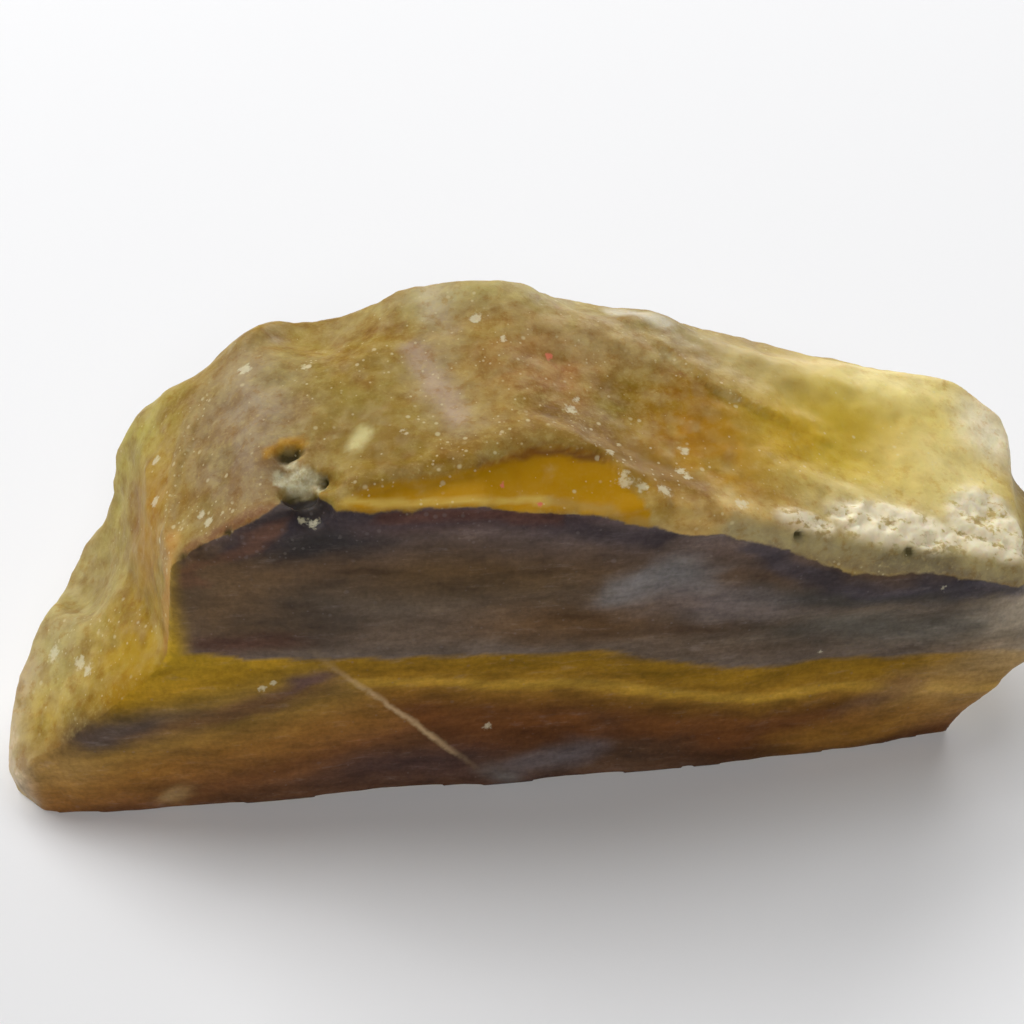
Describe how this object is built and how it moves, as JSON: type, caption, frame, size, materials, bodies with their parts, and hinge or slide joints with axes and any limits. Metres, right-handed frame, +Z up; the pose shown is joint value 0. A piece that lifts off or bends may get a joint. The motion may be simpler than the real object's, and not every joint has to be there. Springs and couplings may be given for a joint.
{
  "type": "raw fluorite",
  "caption": "Worn chunk of banded yellow and purple fluorite with a flat banded front, a frosted faceted top, flake scars and a small crystal-lined pocket; rests on its flat broken base.",
  "frame": {"origin": "middle of the length and breadth, on the plane of the flat base", "axes": "+X along the chunk's length towards the pointed tip, +Y towards the rough back, +Z up from the base; the banded front faces -Y"},
  "size_m": [0.0654, 0.0262, 0.0251],
  "materials": {
    "fluorite": "worn and frosted, slightly translucent, with glossy fresh flake scars"
  },
  "bodies": {
    "root": {"raw_fluorite": "fluorite"}
  },
  "joints": []
}
